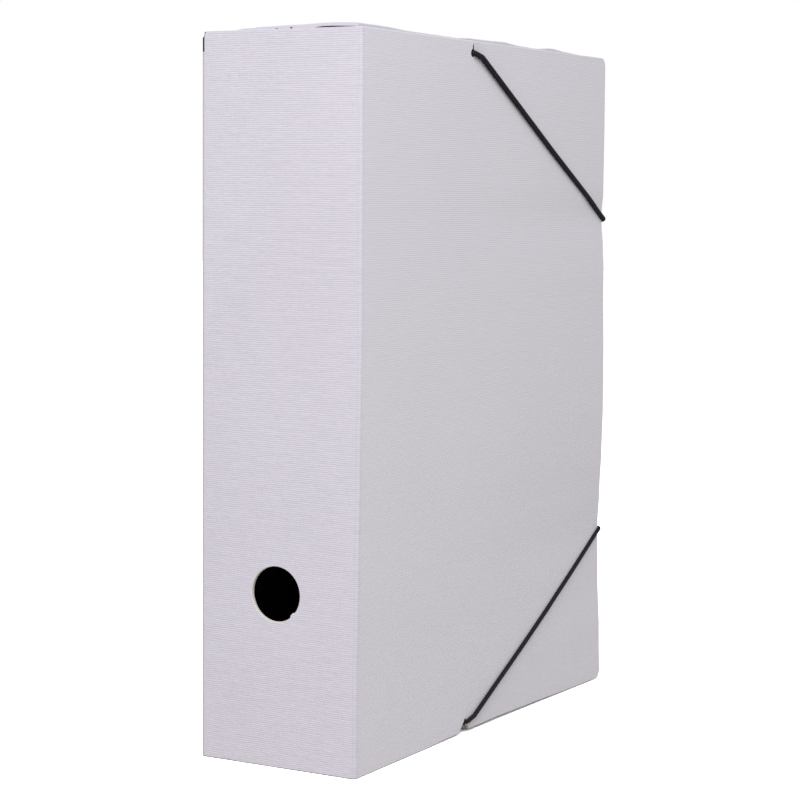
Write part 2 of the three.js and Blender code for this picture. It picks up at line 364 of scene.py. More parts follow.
def cover_point(a, b, h):
    """Where a point of the cover's blank lies when the strip is folded round the closed box."""
    b -= corner_sag(a, b)
    centre_x = SPINE_X + CREASE_RADIUS
    inner = CREASE_RADIUS - h
    if a < LID_RUN:
        x = FORE_X - a
        return Vector((x, LID_Y + h - lid_bow(x, b), b + lower_lift(x, b)))
    if a < SPINE_START:
        turn = (a - LID_RUN) / CREASE_RADIUS
        push = crease_push(b)
        stand_out = push + (lid_bow(centre_x, b) - push) * math.cos(turn)
        y = LID_Y + CREASE_RADIUS - inner * math.cos(turn) - stand_out
        return Vector((centre_x - inner * math.sin(turn), y, b))
    if a < SPINE_END:
        push = crease_push(b) * (SPINE_END - a) / (SPINE_END - SPINE_START)
        return Vector((SPINE_X + h, LID_Y + CREASE_RADIUS + a - SPINE_START - push, b))
    if a < BACK_START:
        turn = (a - SPINE_END) / CREASE_RADIUS
        return Vector((centre_x - inner * math.cos(turn), BACK_Y - CREASE_RADIUS + inner * math.sin(turn), b))
    return Vector((centre_x + a - BACK_START, BACK_Y - h, b))


def strip_outline(start, end):
    """A full-height strip, longer than its place by the length that is trimmed off."""
    low, high = start - TRIM, end + TRIM
    return [(low, PANEL_BOTTOM), (high, PANEL_BOTTOM), (high, PANEL_TOP), (low, PANEL_TOP)]


def keyhole(a, radius, z, top, half_slit):
    """Outline from the top edge down the slit, round the hole and up again, as a grows."""
    meet = math.asin(half_slit / radius)
    round_hole = arc_points(a, z, radius, math.pi / 2 + meet, math.pi * 5 / 2 - meet, KEYHOLE_STEPS)
    pressed = half_slit * SLIT_PRESSED
    return [
        (a - pressed, top), (a - pressed, top - SLIT_CLOSED), (a - half_slit, top - 2 * SLIT_CLOSED), *round_hole,
        (a + half_slit, top - 2 * SLIT_CLOSED), (a + pressed, top - SLIT_CLOSED), (a + pressed, top),
    ]


def notch(a, apex_half, apex_z, mouth_a, bottom):
    """Outline from the bottom edge up into the notch and down again, as a falls."""
    apex = arc_points(a, apex_z, apex_half, 0, math.pi, NOTCH_STEPS)
    return [(mouth_a + NOTCH_MOUTH / 2, bottom), *apex, (mouth_a - NOTCH_MOUTH / 2, bottom)]


def make_lid(materials):
    hole_a = FORE_X - CORD_HOLE_X
    end = LID_RUN - CREASE_LEG
    r = CORNER_RADIUS
    notch_half = LOWER_CORD_RADIUS * HOLE_SHARE + NOTCH_EASE
    outline = [
        *arc_points(r, PANEL_TOP - r, r, math.pi, math.pi / 2, CORNER_STEPS),
        *keyhole(hole_a, UPPER_CORD_RADIUS + HOLE_EASE, UPPER_HOLE_Z, PANEL_TOP, SLIT_WIDTH / 2),
        (end + TRIM, PANEL_TOP),
        (end + TRIM, PANEL_BOTTOM),
        *notch(hole_a, notch_half, LOWER_HOLE_Z - NOTCH_DROP, hole_a + NOTCH_LEAN, PANEL_BOTTOM),
        *arc_points(r, PANEL_BOTTOM + r, r, -math.pi / 2, -math.pi, CORNER_STEPS),
    ]
    board = flat_board("lid_blank", outline, [], BOARD, [(end, -1)])
    slice_board(
        board, [TURN_IN, *cuts_between(0, end)[1:-1], end - TURN_IN],
        [LINED_BOTTOM, *cuts_between(PANEL_BOTTOM, PANEL_TOP)[1:-1], LINED_TOP],
    )

    def lined(a, b):
        return a > TURN_IN and LINED_BOTTOM < b < LINED_TOP

    def cut_edge(a, b):
        beside = abs(a - hole_a)
        # The slit's cut faces below its closed top take the black lining: painted shade for the dark slit
        if beside < SLIT_WIDTH and UPPER_HOLE_Z + UPPER_CORD_RADIUS < b:
            return INNER if b < PANEL_TOP - SLIT_CLOSED else OUTER
        by_hole = beside < UPPER_RIM_REACH and abs(b - UPPER_HOLE_Z) < UPPER_RIM_REACH
        by_notch = beside < NOTCH_EDGE_HALF and PANEL_BOTTOM + EDGE_RADIUS < b < LOWER_HOLE_Z + NOTCH_EDGE_RISE
        return RAW if by_hole or by_notch else OUTER

    return folded("lid_board", board, cover_point, finish_by(lined, cut_edge, seams=[end]), materials)


def finger_hole(a, z):
    """A punched round hole with a small lip left by the punch at its lower near side."""
    loop = []
    for i in range(FINGER_HOLE_STEPS):
        angle = 2 * math.pi * i / FINGER_HOLE_STEPS
        lip = PUNCH_LIP if PUNCH_LIP_START < angle < PUNCH_LIP_END else 0
        radius = FINGER_HOLE_RADIUS - lip
        loop.append((a + radius * math.cos(angle), z + radius * math.sin(angle)))
    return loop


def make_spine(materials):
    start, end = SPINE_START + CREASE_LEG, SPINE_END - CREASE_LEG
    hole_a = SPINE_START - CREASE_RADIUS + FINGER_HOLE_Y - LID_Y
    hole = finger_hole(hole_a, FINGER_HOLE_Z)
    board = flat_board("spine_blank", strip_outline(start, end), [hole], BOARD, [(start, 1), (end, -1)])
    slice_board(
        board, cuts_between(start, end)[1:-1],
        [LINED_BOTTOM, *cuts_between(PANEL_BOTTOM, PANEL_TOP)[1:-1], LINED_TOP],
    )

    def lined(a, b):
        return LINED_BOTTOM < b < LINED_TOP

    def cut_edge(a, b):
        return RAW if math.hypot(a - hole_a, b - FINGER_HOLE_Z) < FINGER_HOLE_RADIUS + RAW_REACH else OUTER

    return folded("spine_board", board, cover_point, finish_by(lined, cut_edge, seams=[start, end]), materials)


def make_crease(name, start, end, materials, dark_reach=0.0):
    """Scored stretch of the cover, thinner than the boards, which bends when the cover opens.

    Over a length given from the top, from its arc onwards, its outside takes the black lining finish.
    """
    outline = strip_outline(start, end)
    board = flat_board(name + "_blank", outline, [], CREASE_THICKNESS, [(start, 1), (end, -1)])
    arc = [start + CREASE_LEG + CREASE_ARC * i / ARC_STEPS for i in range(ARC_STEPS + 1)]
    dark_from = PANEL_TOP - dark_reach
    sag_cuts = cuts_between(PANEL_TOP - CORNER_SAG_REACH, PANEL_TOP, SAG_GRID)[:-1]
    slice_board(board, arc, [*cuts_between(PANEL_BOTTOM, PANEL_TOP)[1:-1], dark_from, *sag_cuts])
    plain = finish_by(lambda a, b: True, seams=[start, end])

    def pick(centre, normal):
        if dark_reach and centre.y > dark_from and centre.x > start + CREASE_LEG:
            return INNER
        finish = plain(centre, normal)
        on_arc = start + CREASE_LEG < centre.x < end - CREASE_LEG
        # Outer paper on the arc takes the darker linen, painted shade on the fold
        return FOLD_SHADE if finish == OUTER and on_arc else finish

    return folded(name, board, cover_point, pick, materials)


# The tray: back panel, three walls and two tabs, folded from one blank

FORE_FOLD = FORE_X - FOLD_RADIUS
TOP_FOLD = PANEL_TOP - FOLD_RADIUS
BOTTOM_FOLD = FOLD_RADIUS
FOLD_ARC = FOLD_RADIUS * math.pi / 2
WALL_LENGTH = FOLD_ARC + BACK_Y - FOLD_RADIUS - RIM_Y
TAB_TOP_FOLD = TOP_FOLD - BOARD
TAB_BOTTOM_FOLD = BOTTOM_FOLD + BOARD
TRAY_START = SPINE_X + CREASE_RADIUS + CREASE_LEG
SIDE_RIM = FORE_FOLD + WALL_LENGTH
TOP_RIM = TOP_FOLD + WALL_LENGTH
BOTTOM_RIM = BOTTOM_FOLD - WALL_LENGTH


def bend(t, h):
    """Folds a surface by a right angle from t = 0 on: distance onwards and depth inwards."""
    if t <= 0:
        return t, h
    if t < FOLD_ARC:
        turn = t / FOLD_RADIUS
        return (FOLD_RADIUS - h) * math.sin(turn), FOLD_RADIUS - (FOLD_RADIUS - h) * math.cos(turn)
    return FOLD_RADIUS - h, FOLD_RADIUS + t - FOLD_ARC


def tray_point(a, b, h):
    """Where a point of the tray's blank lies when the walls and tabs are folded and the top wall waves."""
    x, z, depth = a, b, h
    if a > FORE_FOLD and (a > FORE_X + CORNER_RELIEF or TAB_BOTTOM_FOLD < b < TAB_TOP_FOLD):
        if b > TAB_TOP_FOLD:
            onward, h = bend(b - TAB_TOP_FOLD, h)
            z = TAB_TOP_FOLD + onward
        elif b < TAB_BOTTOM_FOLD:
            onward, h = bend(TAB_BOTTOM_FOLD - b, h)
            z = TAB_BOTTOM_FOLD - onward
        onward, depth = bend(a - FORE_FOLD, h)
        x = FORE_FOLD + onward
    elif b > TOP_FOLD:
        h = pinched(x, BACK_Y - (b - TOP_FOLD), h)
        onward, depth = bend(b - TOP_FOLD, h)
        z = TOP_FOLD + onward
    elif b < BOTTOM_FOLD:
        onward, depth = bend(BOTTOM_FOLD - b, h)
        z = BOTTOM_FOLD - onward
    y = BACK_Y - depth
    lift = lower_lift(x, z) * smooth((-y - RIM_LIFT_REACH) / RIM_LIFT_REACH)
    z += top_rise(x, y) * smooth((z - PANEL_TOP + WAVE_REACH) / WAVE_REACH) + lift
    return Vector((x, y, z))


def tray_outline():
    wall_end = FORE_X - CORNER_RELIEF
    notch_a = CORD_HOLE_X - NOTCH_LEAN
    half = NOTCH_MOUTH / 2
    narrow = half * TRAY_NOTCH_SHARE
    tab_start = FORE_FOLD + FOLD_ARC + TAB_SETBACK / 2
    tab_end = SIDE_RIM - TAB_SETBACK
    tab = FOLD_ARC + TAB_LENGTH
    return [
        (TRAY_START - TRIM, BOTTOM_RIM),
        (notch_a - half, BOTTOM_RIM), (notch_a - narrow, BOTTOM_RIM + NOTCH_REACH),
        (notch_a + narrow, BOTTOM_RIM + NOTCH_REACH), (notch_a + half, BOTTOM_RIM),
        (wall_end, BOTTOM_RIM), (wall_end, BOTTOM_FOLD - FOLD_ARC),
        (FORE_FOLD, BOTTOM_FOLD), (FORE_FOLD + FOLD_ARC, TAB_BOTTOM_FOLD),
        (tab_start, TAB_BOTTOM_FOLD), (tab_start + TAB_TAPER, TAB_BOTTOM_FOLD - tab),
        (tab_end - TAB_TAPER, TAB_BOTTOM_FOLD - tab), (tab_end, TAB_BOTTOM_FOLD),
        (SIDE_RIM, TAB_BOTTOM_FOLD), (SIDE_RIM, TAB_TOP_FOLD),
        (tab_end, TAB_TOP_FOLD), (tab_end - TAB_TAPER, TAB_TOP_FOLD + tab),
        (tab_start + TAB_TAPER, TAB_TOP_FOLD + tab), (tab_start, TAB_TOP_FOLD),
        (FORE_FOLD + FOLD_ARC, TAB_TOP_FOLD), (FORE_FOLD, TOP_FOLD),
        (wall_end, TOP_FOLD + FOLD_ARC), (wall_end, TOP_RIM),
        (TRAY_START - TRIM, TOP_RIM),
    ]


def make_tray(materials):
    holes = [
        arc_points(CORD_HOLE_X, z, radius + HOLE_EASE, 0, 2 * math.pi, CORD_HOLE_STEPS)[:-1]
        for z, radius in ((UPPER_HOLE_Z, UPPER_CORD_RADIUS), (LOWER_HOLE_Z, LOWER_CORD_RADIUS))
    ]
    board = flat_board("tray_blank", tray_outline(), holes, BOARD, [(TRAY_START, 1)])
    fold = [FOLD_ARC * i / ARC_STEPS for i in range(ARC_STEPS + 1)]
    a_cuts = [
        *cuts_between(TRAY_START, TRAY_START + GAP_REACH, GAP_GRID)[1:-1],
        *cuts_between(TRAY_START + GAP_REACH, FORE_FOLD)[:-1],
        *(FORE_FOLD + f for f in fold),
        *cuts_between(FORE_FOLD + FOLD_ARC, SIDE_RIM)[1:-1],
        SIDE_RIM - TURN_IN,
    ]
    b_cuts = [
        *(TOP_FOLD + f for f in fold),
        *(BOTTOM_FOLD - f for f in fold),
        *(TAB_TOP_FOLD + f for f in fold),
        *(TAB_BOTTOM_FOLD - f for f in fold),
        *cuts_between(TAB_BOTTOM_FOLD, TAB_TOP_FOLD)[1:-1],
        *cuts_between(TOP_FOLD + FOLD_ARC, TOP_RIM, RIM_GRID)[1:-1],
        *cuts_between(BOTTOM_RIM, BOTTOM_FOLD - FOLD_ARC)[1:-1],
        TOP_RIM - TURN_IN,
        BOTTOM_RIM + TURN_IN,
    ]
    slice_board(board, a_cuts, b_cuts)

    def lined(a, b):
        across = TRAY_START + LINING_SETBACK < a < SIDE_RIM - TURN_IN
        return across and BOTTOM_RIM + TURN_IN < b < TOP_RIM - TURN_IN

    def cut_edge(a, b):
        beside = abs(a - CORD_HOLE_X)
        level = abs(b - UPPER_HOLE_Z) < UPPER_RIM_REACH or abs(b - LOWER_HOLE_Z) < LOWER_RIM_REACH
        in_notch = beside < NOTCH_MOUTH and EDGE_RADIUS < b - BOTTOM_RIM < NOTCH_REACH + RAW_REACH
        return RAW if in_notch or (level and beside < UPPER_RIM_REACH) else OUTER

    return folded("tray_board", board, tray_point, finish_by(lined, cut_edge), materials)


# Elastics: round cord with a braided sheath, along the routes that the CAD cords follow

WRAP_UPPER_Z = 244.4 * MM
WRAP_LOWER_Z = 80.9 * MM
SHOULDER_RUN = 7 * MM
SHOULDER_DROP = 1.8 * MM
CORD_END_GAP = 0.8 * MM
SLEEVE_REACH = 9 * MM
INNER_RUN = 5 * MM
INNER_SHIFT = 0.8 * MM
UPPER_SAG = Vector((-0.4, 0, -0.5)) * MM
LOWER_SAG = Vector((0.7, 0, -0.8)) * MM
SAG_PLACE = 0.55
HOLE_SHARE = 0.6
HOLE_TAPER = 20 * MM
WRAP_SHARE = 0.6
WRAP_TAPER = 30 * MM
ROUTE_STEPS = 8
ROUTE_STRAIGHT = 8 * MM
STRANDS = 8.0
STRAND_PITCH = 1.7 * MM
STRAND_RELIEF = 0.16 * MM
STRAND_ROUNDING = 0.6
STRAND_MIDDLE = 0.7
BRAID_STEP = 0.3 * MM
BRAID_SIDES = 24


def cord_route(radius, sleeve_z, hole_z, wrap_z, sag):
    """Corners of the loop; the stretched cord is thinner, and so lies closer, at its holes and at the fore-edge."""
    side = math.copysign(1, wrap_z - hole_z)
    at_hole, along_lid, at_wrap = (CORD_GAP + radius * share for share in (HOLE_SHARE, 1.0, WRAP_SHARE))
    shoulder_x, shoulder_z = CORD_HOLE_X + SHOULDER_RUN, hole_z + side * SHOULDER_DROP
    fore = FORE_X + at_wrap
    shoulder = Vector((shoulder_x, LID_Y - along_lid, shoulder_z))
    corner = Vector((fore, LID_Y - at_wrap, wrap_z))
    return [
        Vector((CORD_HOLE_X, -CORD_END_GAP / 2, sleeve_z)),
        Vector((CORD_HOLE_X, -SLEEVE_REACH, sleeve_z)),
        Vector((CORD_HOLE_X, LID_Y + INNER_RUN, hole_z + side * INNER_SHIFT)),
        Vector((CORD_HOLE_X, LID_Y - at_hole, hole_z)),
        shoulder,
        shoulder.lerp(corner, SAG_PLACE) + sag,
        corner,
        Vector((fore, BACK_Y + at_wrap, wrap_z)),
        Vector((shoulder_x, BACK_Y + along_lid, shoulder_z)),
        Vector((CORD_HOLE_X, BACK_Y + at_hole, hole_z)),
        Vector((CORD_HOLE_X, SLEEVE_REACH, sleeve_z)),
        Vector((CORD_HOLE_X, CORD_END_GAP / 2, sleeve_z)),
    ]


def cord_share(place, hole_z, wrap_z):
    """Share of its full thickness that the stretched cord keeps at a place."""
    if abs(place.y) < -LID_Y:
        return WRAP_SHARE if place.x > FORE_X else HOLE_SHARE
    from_hole = math.hypot(place.x - CORD_HOLE_X, place.z - hole_z)
    from_wrap = math.hypot(place.x - FORE_X, place.z - wrap_z)
    share = HOLE_SHARE + (1 - HOLE_SHARE) * smooth(from_hole / HOLE_TAPER)
    return min(share, WRAP_SHARE + (1 - WRAP_SHARE) * smooth(from_wrap / WRAP_TAPER))


def rounded_route(corners, radius):
    """The corner points joined by straights and short arcs."""
    route = [corners[0]]

    def run_to(end):
        start = route[-1]
        count = max(1, round((end - start).length / ROUTE_STRAIGHT))
        route.extend(start.lerp(end, i / count) for i in range(1, count + 1))

    for before, corner, after in zip(corners, corners[1:], corners[2:]):
        incoming = (corner - before).normalized()
        outgoing = (after - corner).normalized()
        turn = incoming.angle(outgoing)
        run_to(corner - incoming * radius * math.tan(turn / 2))
        centre = corner + (outgoing - incoming).normalized() * radius / math.cos(turn / 2)
        arm = route[-1] - centre
        axis = incoming.cross(outgoing).normalized()
        count = max(2, math.ceil(ROUTE_STEPS * turn / (math.pi / 2)))
        route.extend(centre + Matrix.Rotation(turn * k / count, 3, axis) @ arm for k in range(1, count + 1))
    run_to(corners[-1])
    return route


def on_bowed_lid(point):
    """Moves a point in front of the lid out by the lid's bow."""
    half_way = -LID_Y / 2
    share = smooth((-point.y - half_way) / half_way)
    return point - Vector((0, board_bow(min(point.x, FORE_X), point.z) * share, 0))


def math_node(tree, operation, *values, clamp=False):
    """Result of a maths node in any node tree, whose sockets are set to the numbers and linked to the rest."""
    made = tree.nodes.new("ShaderNodeMath")
    made.operation = operation
    made.use_clamp = clamp
    for socket, value in zip(made.inputs, values):
        if isinstance(value, (int, float)):
            socket.default_value = value
        else:
            tree.links.new(value, socket)
    return made.outputs[0]


def braid_tree():
    """Geometry nodes that sweep a path into a cord and raise the diamonds of its braided sheath."""
    tree = bpy.data.node_groups.new("braided_cord", "GeometryNodeTree")
    face = tree.interface
    face.new_socket("Path", in_out="INPUT", socket_type="NodeSocketGeometry")
    for name in ("Radius", "Strand pitch", "Relief", "Step", "Strands"):
        face.new_socket(name, in_out="INPUT", socket_type="NodeSocketFloat")
    face.new_socket("Sheath", in_out="INPUT", socket_type="NodeSocketMaterial")
    face.new_socket("Cord", in_out="OUTPUT", socket_type="NodeSocketGeometry")
    entry, leave = tree.nodes.new("NodeGroupInput"), tree.nodes.new("NodeGroupOutput")
    link = tree.links.new
    value = {socket.name: socket for socket in entry.outputs}

    def maths(operation, *values):
        return math_node(tree, operation, *values)

    def keep(name, geometry, number):
        """Stores a number on the points under a name."""
        store = tree.nodes.new("GeometryNodeStoreNamedAttribute")
        store.data_type, store.domain = "FLOAT", "POINT"
        store.inputs["Name"].default_value = name
        link(geometry, store.inputs["Geometry"])
        link(number, store.inputs["Value"])
        return store.outputs[0]

    def read(name):
        reader = tree.nodes.new("GeometryNodeInputNamedAttribute")
        reader.data_type = "FLOAT"
        reader.inputs["Name"].default_value = name
        return reader.outputs["Attribute"]

    resample = tree.nodes.new("GeometryNodeResampleCurve")
    resample.mode = "LENGTH"
    link(value["Path"], resample.inputs["Curve"])
    link(value["Step"], resample.inputs["Length"])
    run = tree.nodes.new("GeometryNodeSplineParameter")
    path = keep("run", resample.outputs[0], run.outputs["Length"])

    ring = tree.nodes.new("GeometryNodeCurvePrimitiveCircle")
    ring.inputs["Resolution"].default_value = BRAID_SIDES
    link(value["Radius"], ring.inputs["Radius"])
    around = tree.nodes.new("GeometryNodeSplineParameter")
    section = keep("around", ring.outputs["Curve"], around.outputs["Factor"])

    sweep = tree.nodes.new("GeometryNodeCurveToMesh")
    sweep.inputs["Fill Caps"].default_value = True
    link(path, sweep.inputs["Curve"])
    link(section, sweep.inputs["Profile Curve"])

    turns = maths("MULTIPLY", read("around"), value["Strands"])
    pitches = maths("DIVIDE", read("run"), value["Strand pitch"])
    waves = []
    for sign in ("ADD", "SUBTRACT"):
        waves.append(maths("SINE", maths("MULTIPLY", maths(sign, turns, pitches), math.pi)))
    crossing = maths("ABSOLUTE", maths("MULTIPLY", *waves))
    height = maths("POWER", crossing, STRAND_ROUNDING)
    swept = keep("strand_height", sweep.outputs[0], height)

    raised = maths("MULTIPLY", maths("SUBTRACT", height, STRAND_MIDDLE), value["Relief"])
    normal = tree.nodes.new("GeometryNodeInputNormal")
    push = tree.nodes.new("ShaderNodeVectorMath")
    push.operation = "SCALE"
    link(normal.outputs[0], push.inputs[0])
    link(raised, push.inputs["Scale"])
    move = tree.nodes.new("GeometryNodeSetPosition")
    link(swept, move.inputs["Geometry"])
    link(push.outputs[0], move.inputs["Offset"])
    real = tree.nodes.new("GeometryNodeRealizeInstances")
    link(move.outputs[0], real.inputs[0])
    sheath = tree.nodes.new("GeometryNodeSetMaterial")
    link(real.outputs[0], sheath.inputs["Geometry"])
    link(value["Sheath"], sheath.inputs["Material"])
    link(sheath.outputs[0], leave.inputs[0])
    return tree


def set_input(modifier, tree, name, value):
    sockets = [item for item in tree.interface.items_tree if item.item_type == "SOCKET" and item.in_out == "INPUT"]
    socket = next(item for item in sockets if item.name == name)
    modifier[socket.identifier] = value


def make_elastic(name, tree, radius, sleeve_z, hole_z, wrap_z, sag, sheath):
    route = rounded_route(cord_route(radius, sleeve_z, hole_z, wrap_z, sag), radius * HOLE_SHARE + HOLE_EASE)
    curve = bpy.data.curves.new(name, "CURVE")
    curve.dimensions = "3D"
    spline = curve.splines.new("POLY")
    spline.points.add(len(route) - 1)
    for point, place in zip(spline.points, route):
        point.co = (*on_bowed_lid(place), 1)
        point.radius = cord_share(place, hole_z, wrap_z)
    maker = placed(name + "_path", curve)
    modifier = maker.modifiers.new("braid", "NODES")
    modifier.node_group = tree
    set_input(modifier, tree, "Radius", radius)
    set_input(modifier, tree, "Strand pitch", STRAND_PITCH)
    set_input(modifier, tree, "Relief", STRAND_RELIEF)
    set_input(modifier, tree, "Step", BRAID_STEP)
    set_input(modifier, tree, "Strands", STRANDS)
    set_input(modifier, tree, "Sheath", sheath)
    mesh = plain_mesh(maker)
    mesh.name = name
    mesh.shade_smooth()
    return placed(name, mesh)


# Materials


class Finish:
    """A procedural material under construction."""

    def __init__(self, name, roughness, metallic=0.0, specular=0.5):
        self.material = bpy.data.materials.new(name)
        self.material.use_nodes = True
        self.tree = self.material.node_tree
        self.shader = self.tree.nodes["Principled BSDF"]
        self.shader.inputs["Roughness"].default_value = roughness
        self.shader.inputs["Metallic"].default_value = metallic
        self.shader.inputs["Specular IOR Level"].default_value = specular

    def add(self, kind, **settings):
        made = self.tree.nodes.new(kind)
        for key, value in settings.items():
            setattr(made, key, value)
        return made

    def join(self, source, target):
        self.tree.links.new(source, target)

    def maths(self, operation, *values, clamp=False):
        return math_node(self.tree, operation, *values, clamp=clamp)

    def sum_of(self, *parts):
        """Sum of values, each given with its share."""
        total, *rest = [self.maths("MULTIPLY", value, share) for value, share in parts]
        for part in rest:
            total = self.maths("ADD", total, part)
        return total

    def blank(self, across, up):
        """The board's own flat coordinates, stretched so that one unit is across by up metres."""
        source = self.add("ShaderNodeUVMap", uv_map="blank")
        place = self.add("ShaderNodeMapping")
        place.inputs["Scale"].default_value = (1 / across, 1 / up, 1)
        self.join(source.outputs[0], place.inputs["Vector"])
        return place.outputs[0]

    def object_space(self, size):
        """The piece's own coordinates, stretched so that one unit is size metres."""
        source = self.add("ShaderNodeTexCoord")
        place = self.add("ShaderNodeMapping")
        place.inputs["Scale"].default_value = (1 / size,) * 3
        self.join(source.outputs["Object"], place.inputs["Vector"])
        return place.outputs[0]

    def noise(self, vector, detail=2.0, roughness=0.5):
        made = self.add("ShaderNodeTexNoise")
        made.inputs["Scale"].default_value = 1.0
        made.inputs["Detail"].default_value = detail
        made.inputs["Roughness"].default_value = roughness
        self.join(vector, made.inputs["Vector"])
        return made.outputs["Fac"]

    def ramp(self, factor, low, high, low_at, high_at):
        made = self.add("ShaderNodeValToRGB")
        made.color_ramp.elements[0].position, made.color_ramp.elements[0].color = low_at, (*low, 1)
        made.color_ramp.elements[1].position, made.color_ramp.elements[1].color = high_at, (*high, 1)
        self.join(factor, made.inputs["Fac"])
        return made.outputs["Color"]

    def mix(self, factor, first, second):
        made = self.add("ShaderNodeMix", data_type="RGBA", blend_type="MIX")
        for socket, value in ((made.inputs[0], factor), (made.inputs[6], first), (made.inputs[7], second)):
            if isinstance(value, tuple):
                socket.default_value = (*value, 1)
            else:
                self.join(value, socket)
        return made.outputs[2]

    def bump(self, height, distance, strength=1.0):
        made = self.add("ShaderNodeBump")
        made.inputs["Distance"].default_value = distance
        made.inputs["Strength"].default_value = strength
        self.join(height, made.inputs["Height"])
        self.join(made.outputs[0], self.shader.inputs["Normal"])

    def colour(self, colour):
        self.join(colour, self.shader.inputs["Base Color"])


def linen_paper(name, light, dark, relief):
    """Paper embossed like linen: level threads of uneven thickness, with fainter upright ones between them."""
    finish = Finish(name, roughness=0.78, specular=0.25)
    wander = finish.noise(finish.blank(26 * MM, 14 * MM), detail=2)
    across = finish.add("ShaderNodeSeparateXYZ")
    finish.join(finish.blank(1.0, 1.0), across.inputs[0])
    thread_pitch = 0.93 * MM
    drift = finish.maths("MULTIPLY", wander, 1.8)
    level = finish.maths("MULTIPLY_ADD", across.outputs["Y"], 2 * math.pi / thread_pitch, drift)
    weft = finish.maths("MULTIPLY_ADD", finish.maths("SINE", level), 0.5, 0.5)
    slub = finish.noise(finish.blank(4.5 * MM, 0.6 * MM), detail=2, roughness=0.6)
    long_slub = finish.noise(finish.blank(16 * MM, 1.9 * MM), detail=1, roughness=0.5)
    upright = finish.noise(finish.blank(0.9 * MM, 5 * MM), detail=2, roughness=0.6)
    swell = finish.maths("MULTIPLY_ADD", slub, 1.3, -0.1, clamp=True)
    height = finish.sum_of((weft, swell), (slub, 0.6), (long_slub, 0.5), (upright, 0.45))
    cloud = finish.noise(finish.blank(70 * MM, 90 * MM), detail=2)
    # Colour follows the threads' height, lighter on top and darker between them: painted shade of the emboss. The
    # cloud is the paper's own uneven tone.
    tone = finish.sum_of((height, 0.6), (cloud, 0.2))
    finish.colour(finish.ramp(tone, dark, light, 0.5, 1.1))
    finish.bump(height, relief, 0.9)
    return finish.material


def lining_paper(name):
    """Plain black lining with a faint fibre."""
    finish = Finish(name, roughness=0.9, specular=0.2)
    fibre = finish.noise(finish.blank(3 * MM, 1.2 * MM), detail=4, roughness=0.6)
    cloud = finish.noise(finish.blank(60 * MM, 60 * MM), detail=2)
    tone = finish.sum_of((fibre, 0.7), (cloud, 0.3))
    finish.colour(finish.ramp(tone, (0.020, 0.020, 0.022), (0.040, 0.040, 0.043), 0.3, 0.7))
    finish.bump(fibre, 0.05 * MM, 0.6)
    return finish.material


def raw_board(name):
    """Cut edge of the pale board core, with its layers."""
    finish = Finish(name, roughness=0.95, specular=0.15)
    layers = finish.noise(finish.object_space(0.35 * MM), detail=3, roughness=0.7)
    finish.colour(finish.ramp(layers, (0.62, 0.56, 0.46), (0.84, 0.79, 0.71), 0.3, 0.7))
    finish.bump(layers, 0.08 * MM)
    return finish.material


def elastic_sheath(name):
    """Black braided sheath, coloured darker between its strands as painted shade in the braid's hollows."""
    finish = Finish(name, roughness=0.7, specular=0.12)
    strand = finish.add("ShaderNodeAttribute", attribute_name="strand_height").outputs["Fac"]
    fluff = finish.noise(finish.object_space(0.5 * MM), detail=3)
    tone = finish.sum_of((strand, 0.7), (fluff, 0.3))
    finish.colour(finish.ramp(tone, (0.004, 0.004, 0.006), (0.018, 0.017, 0.022), 0.2, 0.9))
    finish.bump(fluff, 0.04 * MM, 0.7)
    return finish.material


def crimp_metal(name):
    """Bright crimped sleeve with fine turning marks."""
    finish = Finish(name, roughness=0.32, metallic=1.0)
    marks = finish.noise(finish.object_space(0.6 * MM), detail=3)
    finish.colour(finish.ramp(marks, (0.55, 0.55, 0.57), (0.74, 0.74, 0.76), 0.3, 0.7))
    finish.bump(marks, 0.02 * MM, 0.5)
    return finish.material


# Stage: camera, floor and light


def make_camera():
    heading, pitch = CAMERA_HEADING, CAMERA_PITCH
    onward = math.cos(pitch)
    forward = Vector((onward * math.sin(heading), onward * math.cos(heading), -math.sin(pitch)))
    level = Vector((math.cos(heading), -math.sin(heading), 0))
    upright = level.cross(forward)
    right = level * math.cos(CAMERA_ROLL) + upright * math.sin(CAMERA_ROLL)
    up = upright * math.cos(CAMERA_ROLL) - level * math.sin(CAMERA_ROLL)
    turn = Matrix((right, up, -forward)).transposed().to_4x4()
    data = bpy.data.cameras.new("camera")
    data.sensor_width = CAMERA_SENSOR
    data.lens = CAMERA_LENS
    data.clip_start, data.clip_end = CAMERA_NEAR, CAMERA_FAR
    camera = placed("camera", data)
    camera.matrix_world = Matrix.Translation(CAMERA_PLACE) @ turn
    bpy.context.scene.camera = camera


FLOOR_SIZE = 12.0


def make_floor():
    bpy.ops.mesh.primitive_plane_add(size=FLOOR_SIZE, location=(0, 0, 0))
    floor = bpy.context.object
    floor.name = "floor"
    finish = Finish("white_floor", roughness=0.9, specular=0.1)
    rays = finish.add("ShaderNodeLightPath")
    seen = finish.maths("MAXIMUM", rays.outputs["Is Camera Ray"], rays.outputs["Is Transmission Ray"])
    plain, mirrored, bright = (0.56, 0.54, 0.48), (1.0, 1.0, 1.0), (2.4, 2.4, 2.4)
    diffuse = finish.add("ShaderNodeBsdfDiffuse")
    reflected = finish.mix(rays.outputs["Is Glossy Ray"], plain, mirrored)
    finish.join(finish.mix(seen, reflected, bright), diffuse.inputs["Color"])
    finish.join(diffuse.outputs[0], finish.tree.nodes["Material Output"].inputs["Surface"])
    floor.data.materials.append(finish.material)


